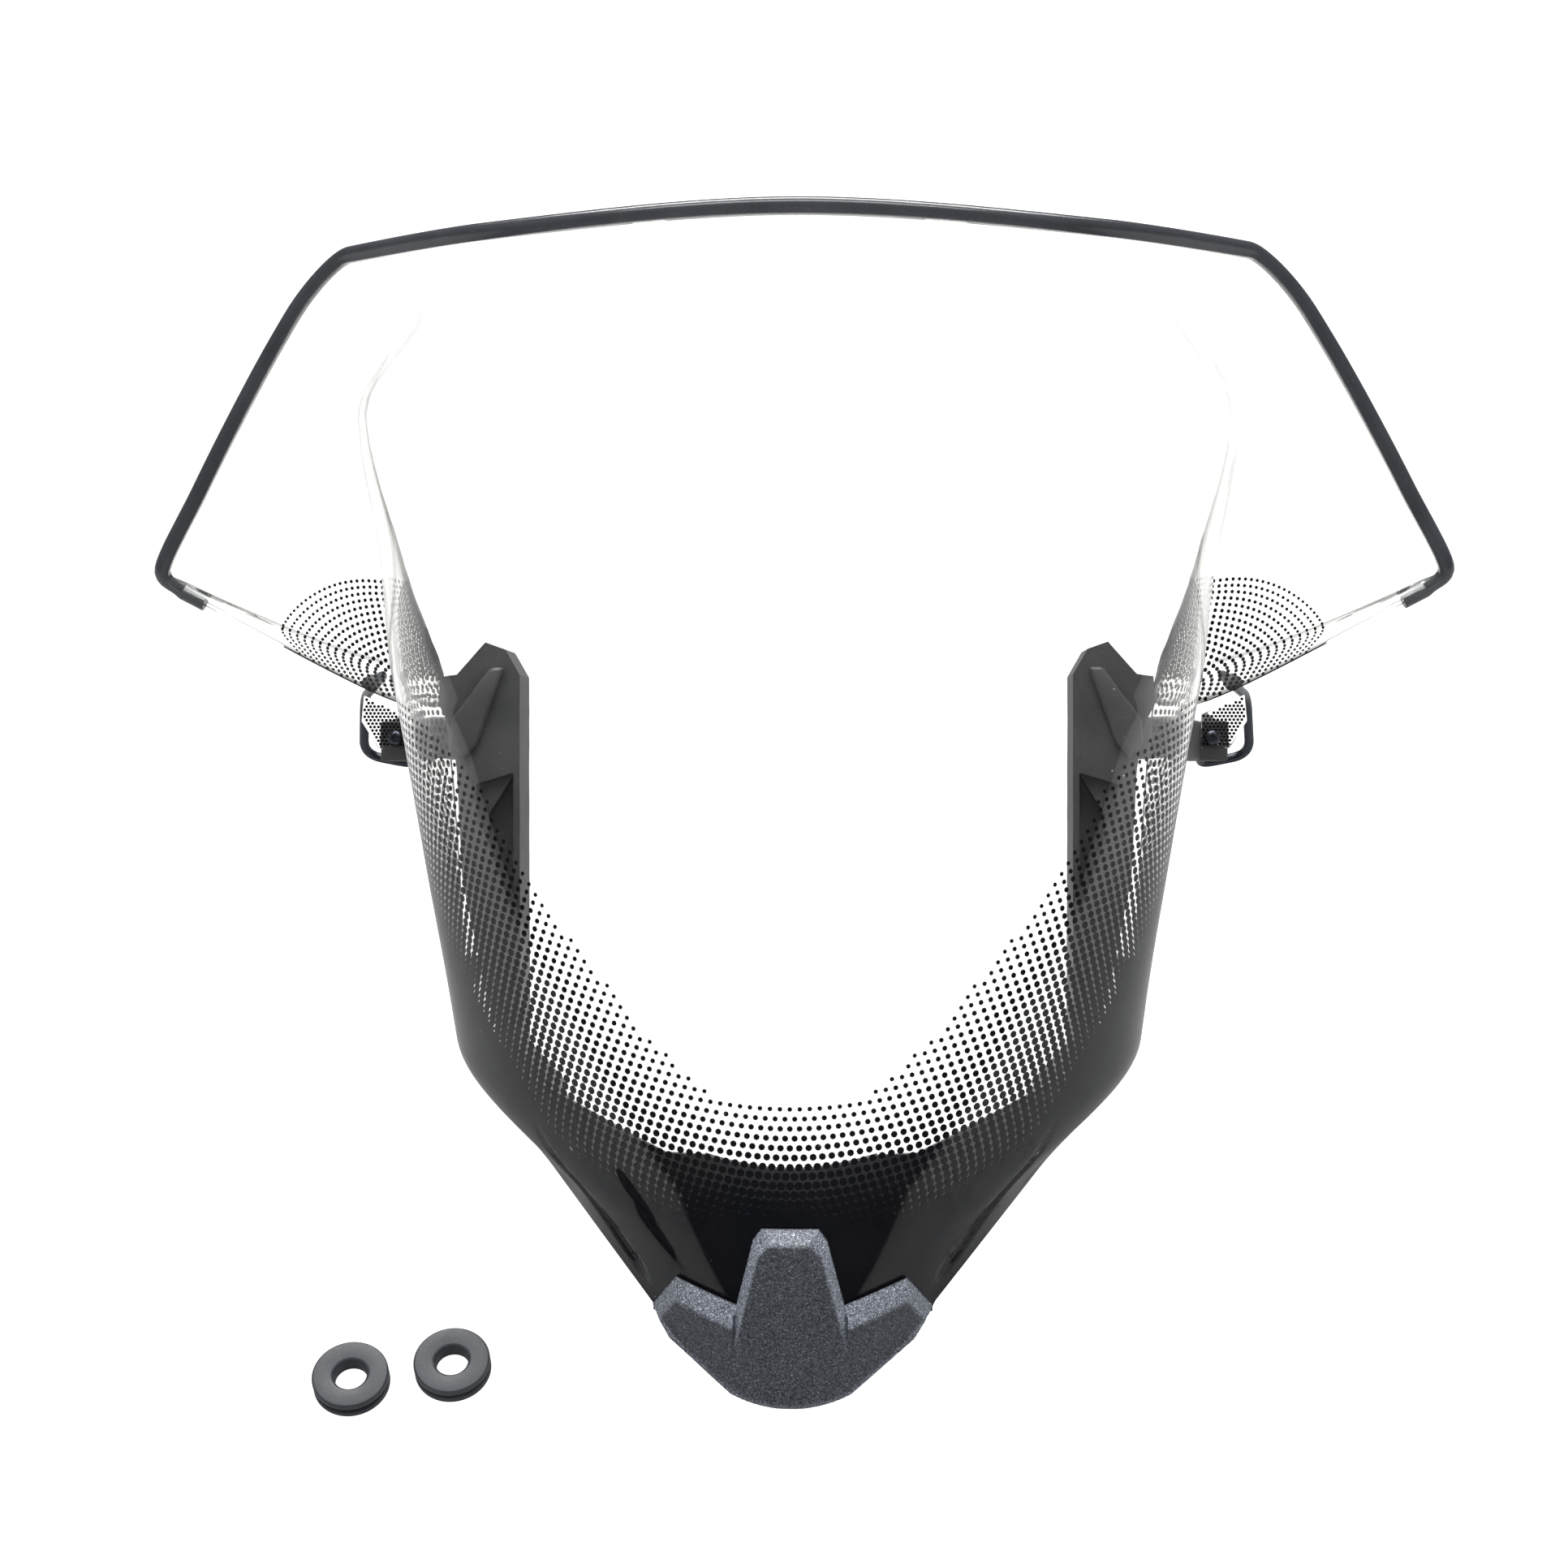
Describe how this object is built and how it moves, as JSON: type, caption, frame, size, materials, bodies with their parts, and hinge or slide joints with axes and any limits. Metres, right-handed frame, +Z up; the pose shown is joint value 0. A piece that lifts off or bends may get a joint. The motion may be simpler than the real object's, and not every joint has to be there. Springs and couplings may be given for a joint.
{
  "type": "windshield screen",
  "caption": "Wide clear wrap-around windshield screen with flared wings, rubber edge trim, dark nose cap, black support yoke, wire stays and loose mounting grommets.",
  "frame": {"origin": "on the ground, under the middle of the whole assembly", "axes": "+Z up, the front of the screen faces -Y, +X to the right in a view from the front"},
  "size_m": [0.7624, 0.5395, 0.4396],
  "materials": {
    "clear_sheet": "clear moulded polycarbonate, dark dotted print round its lower edge",
    "trim_rubber": "satin extruded bulb",
    "cap_plastic": "fine sparkling grain",
    "frame_plastic": "fine moulded grain",
    "wire_steel": "satin dark coating",
    "soft_rubber": "matt moulded rubber",
    "zinc_steel": "zinc plated"
  },
  "bodies": {
    "screen": {"arm_blade_left": "frame_plastic", "arm_blade_right": "frame_plastic", "arm_screw_left": "zinc_steel", "arm_screw_right": "zinc_steel", "bracket_screw_left": "zinc_steel", "bracket_screw_right": "zinc_steel", "edge_trim": "trim_rubber", "frame_arm_left": "frame_plastic", "frame_arm_right": "frame_plastic", "frame_bridge": "frame_plastic", "nose_bush_left": "soft_rubber", "nose_bush_right": "soft_rubber", "nose_cap": "cap_plastic", "nose_clip": "frame_plastic", "nose_screw_left": "zinc_steel", "nose_screw_right": "zinc_steel", "side_tab_left": "clear_sheet", "side_tab_right": "clear_sheet", "stay_bracket_left": "frame_plastic", "stay_bracket_right": "frame_plastic", "tab_rivet_left": "zinc_steel", "tab_rivet_right": "zinc_steel", "wall_pad_left": "soft_rubber", "wall_pad_right": "soft_rubber", "windshield_screen": "clear_sheet", "wing_clip_left": "frame_plastic", "wing_clip_right": "frame_plastic", "wire_stay_left": "wire_steel", "wire_stay_right": "wire_steel"},
    "loose_grommet_1": {"grommet_1": "soft_rubber"},
    "loose_grommet_2": {"grommet_2": "soft_rubber"}
  },
  "joints": [
    {"name": "grommet_1_lift", "type": "slide", "parent": "screen", "child": "loose_grommet_1", "axis": [0, 0, 1], "range_m": [0, 0.1]},
    {"name": "grommet_2_lift", "type": "slide", "parent": "screen", "child": "loose_grommet_2", "axis": [0, 0, 1], "range_m": [0, 0.1]}
  ]
}
